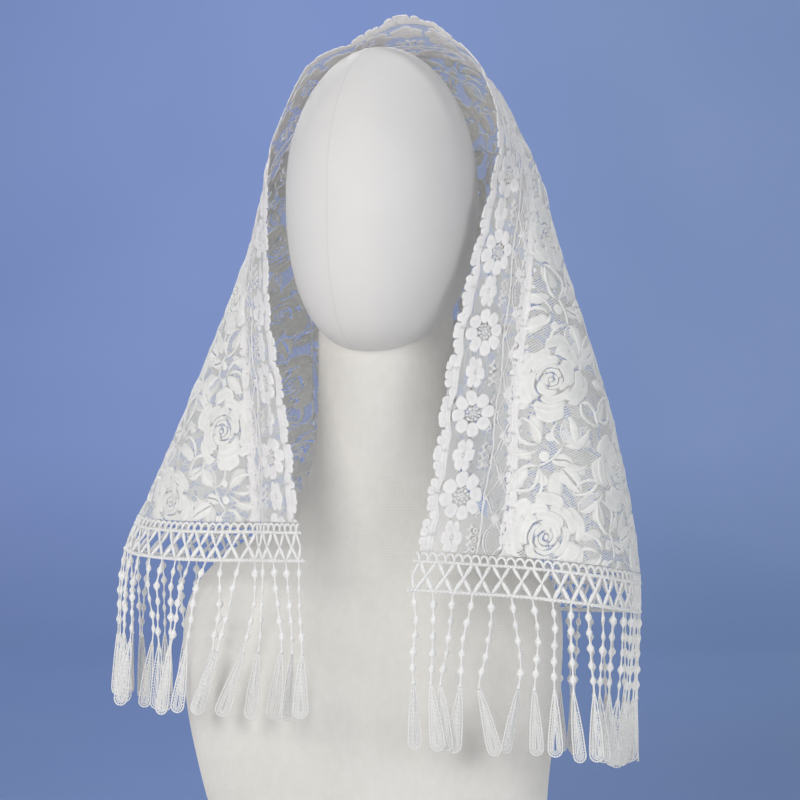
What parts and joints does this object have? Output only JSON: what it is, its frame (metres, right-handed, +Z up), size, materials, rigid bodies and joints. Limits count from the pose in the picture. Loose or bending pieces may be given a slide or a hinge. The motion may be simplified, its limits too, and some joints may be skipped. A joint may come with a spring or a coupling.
{
  "type": "lace shawl on limbless display bust",
  "caption": "White floral lace shawl with fringed ends, draped as a hood over the smooth head of a limbless display bust that stands on its flat base.",
  "frame": {"origin": "middle of the bust's flat base, on the surface it stands on", "axes": "+Z up, the bust's face looks along -Y, +X is the viewer's right from the front"},
  "size_m": [0.4353, 0.3294, 0.6851],
  "materials": {
    "bust_canvas": "matt cream canvas over a stiff form",
    "head_cover": "smooth off-white stretch cover with one seam down the face",
    "daisy_edging": "white scalloped daisy lace, slight sheen",
    "rose_lace": "white rose lace on fine net, slight sheen",
    "trim_cord": "white corded lattice and fringe"
  },
  "bodies": {
    "root": {"form_torso": "bust_canvas", "form_head": "head_cover", "front_edging": "daisy_edging", "lace_panel": "rose_lace", "end_trim_left": "trim_cord", "end_trim_right": "trim_cord", "fringe_left": "trim_cord", "fringe_right": "trim_cord"}
  },
  "joints": []
}
